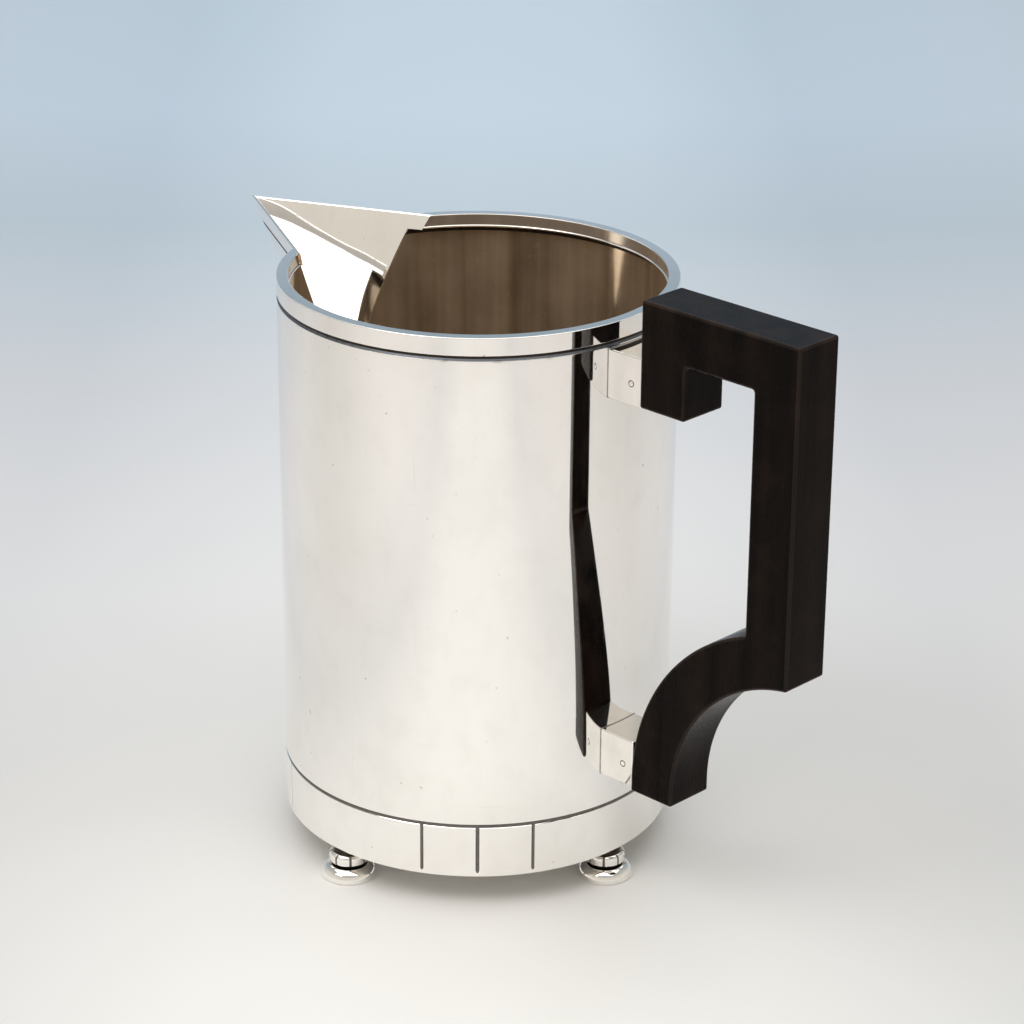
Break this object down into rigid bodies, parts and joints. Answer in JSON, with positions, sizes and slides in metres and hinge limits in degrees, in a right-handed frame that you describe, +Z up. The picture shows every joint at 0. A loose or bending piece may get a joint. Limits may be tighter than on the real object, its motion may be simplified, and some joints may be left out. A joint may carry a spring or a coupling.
{
  "type": "water pitcher",
  "caption": "Cylindrical silver water pitcher with an angular plate spout, a black square-section handle in pinned sockets, a rim band and small turned feet.",
  "frame": {"origin": "bottom centre of the object's box, on the surface that the feet stand on; the cylinder's axis is at x = -0.01445", "axes": "+Z up, handle towards +X, spout towards -X, the object mirrors across the XZ plane"},
  "size_m": [0.2314, 0.1278, 0.1916],
  "materials": {
    "silver": "mirror-polished sterling silver with fine hairline scratches; engraved lines oxidised dark",
    "silver_inside": "satin silver, brushed upright",
    "ebony": "satin black ebony, edges lightly rounded"
  },
  "bodies": {
    "root": {"body_shell": "silver", "rim_collar": "silver", "spout_plate_left": "silver", "spout_plate_right": "silver", "upper_socket": "silver", "lower_socket": "silver", "upper_pin": "silver", "lower_pin": "silver", "base_plate": "silver_inside", "handle": "ebony", "foot_bell_1": "silver", "foot_drum_1": "silver", "foot_stem_1": "silver", "foot_bell_2": "silver", "foot_drum_2": "silver", "foot_stem_2": "silver", "foot_bell_3": "silver", "foot_drum_3": "silver", "foot_stem_3": "silver", "foot_bell_4": "silver", "foot_drum_4": "silver", "foot_stem_4": "silver"}
  },
  "joints": []
}
